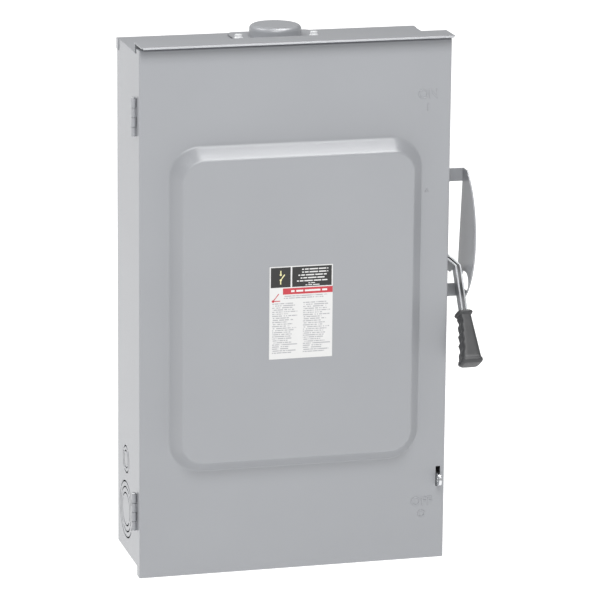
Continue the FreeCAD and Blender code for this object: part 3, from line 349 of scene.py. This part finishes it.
def edge_stations(low, high, middle, half, slot):
    """Stations across the door: place, setback of the folded edge and share of its flange. They
    are close together over the pressed slope and the bends, and wide apart on the flats."""
    reach = np.arange(-0.004, 0.048, 0.001)
    flats = np.concatenate([
        np.linspace(low + FOLD, middle - half - 0.008, 6), middle - half + reach,
        np.linspace(middle - half + 0.052, middle + half - 0.052, 14), middle + half - reach,
        np.linspace(middle + half + 0.008, high - FOLD, 6)])
    flats = flats[np.abs(flats[:, None] - np.array(slot)).min(1) > 0.0009]
    flats = np.unique(np.round(np.concatenate([flats, slot]), 6))
    bend = np.linspace(0, np.pi / 2, 5)[1:]
    share = np.linspace(0, 1, 4)[1:]
    out, back = FOLD * np.sin(bend), FOLD * (1 - np.cos(bend))
    place = np.concatenate([
        np.full(3, low), (low + FOLD - out)[::-1], flats, high - FOLD + out, np.full(3, high)])
    setback = np.concatenate([np.full(3, FOLD), back[::-1], 0 * flats, back, np.full(3, FOLD)])
    return place, setback, np.concatenate([share[::-1], 0 * back, 0 * flats, 0 * back, share])


def door_surface():
    """Folded blank with a pressed middle. The face steps back by the two bends' setbacks and then
    runs straight to the flange's rim. The rise is a ramp with parabolic ends, s(d) - s(d - slope),
    of the distance d inside a rounded rectangle. Corner cells and the slot's cells are left out."""
    across = edge_stations(door_low.x, door_high.x, PANEL_MID[0], PANEL_HALF[0], (SLOT_LOW[0], SLOT_HIGH[0]))
    upward = edge_stations(door_low.z, door_high.z, PANEL_MID[1], PANEL_HALF[1], (SLOT_LOW[1], SLOT_HIGH[1]))
    x, z = np.meshgrid(across[0], upward[0], indexing="ij")
    setback = across[1][:, None] + upward[1][None]
    share = np.maximum(across[2][:, None], upward[2][None])
    past = [np.abs(v - m) - (h - PANEL_CORNER) for v, m, h in zip((x, z), PANEL_MID, PANEL_HALF)]
    inside = PANEL_CORNER - np.hypot(*[np.maximum(p, 0) for p in past]) - np.minimum(np.maximum(*past), 0)
    soft = lambda d: np.where(np.abs(d) < PRESS, (d + PRESS) ** 2 / (4 * PRESS), np.maximum(d, 0))
    rise = (soft(inside) - soft(inside - SLOPE)) * RISE / SLOPE
    front = FACE + setback - rise
    y = front + share * (door_high.y - front)
    corner = (across[2][:, None] > 0) & (upward[2][None] > 0)
    centre = [(v[:-1, :-1] + v[1:, 1:]) / 2 for v in (x, z)]
    slotted = np.all([(c > lo) & (c < hi) for c, lo, hi in zip(centre, SLOT_LOW, SLOT_HIGH)], axis=0)
    cornered = corner[:-1, :-1] | corner[1:, 1:] | corner[1:, :-1] | corner[:-1, 1:]
    return np.stack([x, y, z], axis=-1), ~(slotted | cornered)


grid, kept = door_surface()
flat, merged = np.unique(np.round(grid.reshape(-1, 3), 6), axis=0, return_inverse=True)
index = merged.reshape(grid.shape[:2])
cells = np.stack([index[:-1, :-1], index[1:, :-1], index[1:, 1:], index[:-1, 1:]], axis=-1)[kept]
used, faces = np.unique(cells, return_inverse=True)
mesh = bpy.data.meshes.new("door_skin")
mesh.from_pydata(flat[used].tolist(), [], faces.reshape(-1, 4).tolist())
mesh.polygons.foreach_set("use_smooth", np.ones(len(mesh.polygons), bool))
door = bpy.data.objects.new("door_skin", mesh)
bpy.context.scene.collection.objects.link(door)
wall = door.modifiers.new("sheet", "SOLIDIFY")
wall.thickness, wall.offset, wall.use_even_offset = SHEET, -1.0, True
broken = door.modifiers.new("edges", "BEVEL")
broken.width, broken.segments, broken.limit_method, broken.angle_limit = 0.0003, 2, "ANGLE", math.radians(50)
broken.harden_normals = True
enamel.on(door)
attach(door, "door")
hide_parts("door_panel")


# ---- Marks on the door
# ON, OFF, bar, circle and arrow are stamped from behind, so they stand out of the sheet as
# low rounded letters under the same enamel.
def raised_text(name, words, x, z, height):
    """Letters set flat, thickened with a rounded edge, then stood up on the door's face."""
    curve = bpy.data.curves.new(name, "FONT")
    curve.body, curve.size = words, height / 0.70
    curve.align_x, curve.align_y = "CENTER", "CENTER"
    curve.extrude, curve.bevel_depth, curve.bevel_resolution, curve.offset = 0.0, 0.0007, 2, -0.0005
    words_flat = bpy.data.objects.new(name + "_flat", curve)
    bpy.context.scene.collection.objects.link(words_flat)
    bpy.context.view_layer.update()
    mesh = bpy.data.meshes.new_from_object(words_flat.evaluated_get(bpy.context.evaluated_depsgraph_get()))
    bpy.data.objects.remove(words_flat)
    mesh.transform(Matrix.Translation((x, FACE - 0.0001, z)) @ Matrix.Rotation(math.pi / 2, 4, "X"))
    mesh.materials.clear()
    piece = bpy.data.objects.new(name, mesh)
    bpy.context.scene.collection.objects.link(piece)
    enamel.on(piece)
    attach(piece, "door")


for name, words, high, size in (("mark_on", "ON", 0.287, 0.0125), ("mark_bar", "I", 0.269, 0.010),
                                ("mark_off", "OFF", -0.286, 0.0125), ("mark_circle", "O", -0.304, 0.010),
                                ("mark_arrow", "^", 0.153, 0.008)):
    raised_text(name, words, 0.189, high, size)


# ---- Door labels
# White printed vinyl on the raised middle: two black blocks over a red band and two columns of
# small print, with a plain switch symbol. Inside the door a paper sheet shows the circuit.
class Print(Finish):
    """Printed sheet: ink is laid on in masks drawn in millimetres from the sheet's middle."""

    def __init__(self, name, node, stock):
        super().__init__(name)
        low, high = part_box(node)
        x, _, z = self.axes()
        self.x, self.z = x - (low.x + high.x) * 500, z - (low.z + high.z) * 500
        self.colour = self.blend(self.noise(60.0), (*[tone * 0.95 for tone in stock], 1), (*stock, 1))

    def block(self, x0, x1, z0, z1):
        """Mask of a rectangle."""
        across = abs(self.x - (x0 + x1) / 2) < (x1 - x0) / 2
        return across * (abs(self.z - (z0 + z1) / 2) < (z1 - z0) / 2)

    def stroke(self, x0, z0, x1, z1, thick):
        """Mask of a straight line between two points."""
        long = math.hypot(x1 - x0, z1 - z0)
        ux, uz = (x1 - x0) / long, (z1 - z0) / long
        dx, dz = self.x - (x0 + x1) / 2, self.z - (z0 + z1) / 2
        return (abs(dx * ux + dz * uz) < long / 2) * (abs(dz * ux - dx * uz) < thick / 2)

    def dot(self, x, z, radius):
        """Mask of a filled circle."""
        dx, dz = self.x - x, self.z - z
        return dx * dx + dz * dz < radius * radius

    def lines(self, x0, x1, z0, z1, pitch, cell, ragged):
        """Mask of small print: rows of cells that are inked or blank by chance, ragged at the end."""
        row, column = (self.z - z0) // pitch, (self.x - x0) // cell
        pair = self.node("ShaderNodeCombineXYZ", inputs={0: column, 1: row})
        chance = self.node("ShaderNodeTexWhiteNoise", {"noise_dimensions": "2D"}, {"Vector": pair})
        short = self.node("ShaderNodeTexWhiteNoise", {"noise_dimensions": "1D"}, {"W": row})
        ink = (chance > 0.22) * (abs((self.z - z0) % pitch - pitch / 2) < pitch * 0.24)
        return ink * self.block(x0, x1, z0, z1) * (self.x < x1 - short * ragged)

    def lay(self, mask, ink):
        """Lays one ink through a mask."""
        self.colour = self.blend(mask, self.colour, (*ink, 1))


vinyl = Print("printed_vinyl", "door_label", (0.68, 0.68, 0.675))
BLACK, WHITE, RED, GREY = (0.018, 0.018, 0.018), (0.70, 0.70, 0.695), (0.48, 0.035, 0.05), (0.36, 0.36, 0.38)
vinyl.lay(vinyl.block(-42.3, -14.8, 35.2, 62.9), BLACK)
vinyl.lay(vinyl.block(-12.6, 42.4, 35.2, 62.9), BLACK)
vinyl.lay(vinyl.stroke(-28.5, 39.5, -28.5, 45.5, 1.5).either(vinyl.stroke(-28.5, 52.5, -28.5, 58.5, 1.5))
          .either(vinyl.stroke(-28.5, 45.5, -23.0, 53.0, 1.5)).either(vinyl.dot(-28.5, 45.5, 1.5))
          .either(vinyl.dot(-28.5, 52.8, 1.5)), (0.72, 0.68, 0.36))
for low_x, high_x, base in ((1, 38, 57.4), (1, 38, 53.4), (-4, 36, 49.4), (-1, 33, 45.4), (-6, 37, 41.4),
                            (10, 21, 38.6), (6, 26, 36.0)):
    tall = 2.9 if base > 40 else 1.9
    vinyl.lay(vinyl.lines(low_x, high_x, base, base + tall + 0.4, tall + 0.4, 1.3, 1), WHITE)
vinyl.lay(vinyl.block(-25.4, 43.9, 25.2, 33.8), RED)
vinyl.lay(vinyl.lines(-14, 38, 26.8, 32.2, 5.4, 2.4, 3), WHITE)
vinyl.lay(vinyl.stroke(-39, 16.5, -31, 26.5, 1.2).either(vinyl.stroke(-39, 16.5, -29, 16.5, 1.2))
          .either(vinyl.dot(-39, 16.5, 1.8)), RED)
vinyl.lay(vinyl.lines(-24, 38, 18.6, 24.2, 2.8, 0.9, 12), GREY)
vinyl.lay(vinyl.lines(-40, -5, -57, 14.4, 2.85, 0.8, 14), GREY)
vinyl.lay(vinyl.lines(3, 41, -57, 14.4, 2.85, 0.8, 14), GREY)
vinyl.shade(Base_Color=vinyl.colour, Roughness=0.32 + vinyl.noise(300.0) * 0.1,
            Normal=vinyl.bump(vinyl.noise(40.0), 0.0001))
vinyl.on(nodes["door_label"])

chart = Print("printed_paper", "wiring_label", (0.76, 0.75, 0.71))
ink = chart.block(-79, 79, 43, 44)
for pole in (-45, -15, 15):
    ink = ink.either(chart.stroke(pole, 40, pole, 22, 0.9)).either(chart.stroke(pole, 22, pole + 7, 32, 0.9))
    ink = ink.either(chart.stroke(pole, 14, pole, -40, 0.9)).either(chart.dot(pole, 40, 1.6))
    ink = ink.either(chart.block(pole - 4, pole + 4, -18, 4)).either(chart.dot(pole, -40, 1.6))
chart.lay(ink, (0.03, 0.03, 0.04))
for pole in (-45, -15, 15):
    inside = chart.block(pole - 3.2, pole + 3.2, -17.2, 3.2) * (abs(chart.x - pole) > 0.45)
    chart.lay(inside, (0.76, 0.75, 0.71))
chart.lay(chart.lines(36, 78, -52, 38, 4.0, 1.2, 12), GREY)
chart.lay(chart.lines(-70, 30, 47, 55, 4.0, 1.6, 30), BLACK)
fibres = chart.noise(700.0, 4.0)
chart.shade(Base_Color=chart.colour, Roughness=0.7 + fibres * 0.15, Normal=chart.bump(fibres, 0.00005))
chart.on(nodes["wiring_label"])


# ---- Floor, light and camera
# A plain pale floor under the box, one broad soft lamp high in front, one high on the hinge side
# and one overhead that shows only in the gloss. A long lens looks down from the hinge side.
floor_mesh = bpy.data.meshes.new("floor")
floor_mesh.from_pydata([(-15, -9, 0), (15, -9, 0), (15, 25, 0), (-15, 25, 0)], [], [(0, 1, 2, 3)])
floor_mesh.transform(Matrix.Translation((0, 0, cad_size[0][2] - 0.0005)))
floor = bpy.data.objects.new("floor", floor_mesh)
bpy.context.scene.collection.objects.link(floor)
pale = Finish("pale_floor")
pale.shade(
    Base_Color=pale.blend(pale.noise(3.0), (0.29, 0.29, 0.29, 1), (0.31, 0.31, 0.31, 1)),
    Roughness=0.9, Emission_Color=(1, 1, 1, 1), Emission_Strength=1.08)
pale.on(floor)

world = bpy.data.worlds.new("studio")
bpy.context.scene.world = world
world.use_nodes = True
world.node_tree.nodes["Background"].inputs["Color"].default_value = (1, 1, 1, 1)
world.node_tree.nodes["Background"].inputs["Strength"].default_value = 0.40
bpy.context.scene.view_settings.view_transform = "Standard"


def lamp(name, place, size, power, sheen_only=False):
    """Square soft lamp that points at the middle of the box. A sheen lamp shows in the gloss of
    the paint and adds nothing to its body colour."""
    light = bpy.data.lights.new(name, "AREA")
    light.size, light.energy = size, power
    holder = bpy.data.objects.new(name, light)
    holder.location = place
    holder.visible_diffuse = not sheen_only
    holder.rotation_euler = (-Vector(place)).to_track_quat("-Z", "Y").to_euler()
    bpy.context.scene.collection.objects.link(holder)


lamp("front_high", (-0.3, -2.2, 2.4), 1.5, 70)
lamp("over_top", (0.38, -0.2, 1.7), 0.8, 30, True)
lamp("side_left", (-1.3, 0.3, 1.9), 0.8, 20)


YAW, PITCH, ROLL = math.radians(14.87), math.radians(14.467), math.radians(0.531)
DISTANCE, SIDE, LIFT, MIDDLE = 5.5401, -0.0433, 0.0238, 0.00595
turn = Matrix.Rotation(ROLL, 3, "Y") @ Matrix.Rotation(PITCH, 3, "X") @ Matrix.Rotation(YAW, 3, "Z")
lens = bpy.data.cameras.new("camera")
lens.lens, lens.sensor_width, lens.clip_end = 239.886, 36.0, 100.0
camera = bpy.data.objects.new("camera", lens)
stand = Vector((MIDDLE, 0, 0)) - turn.transposed() @ Vector((SIDE, DISTANCE, LIFT))
camera.matrix_world = Matrix.Translation(stand) @ Matrix((turn[0], turn[2], -turn[1])).transposed().to_4x4()
bpy.context.scene.collection.objects.link(camera)
bpy.context.scene.camera = camera
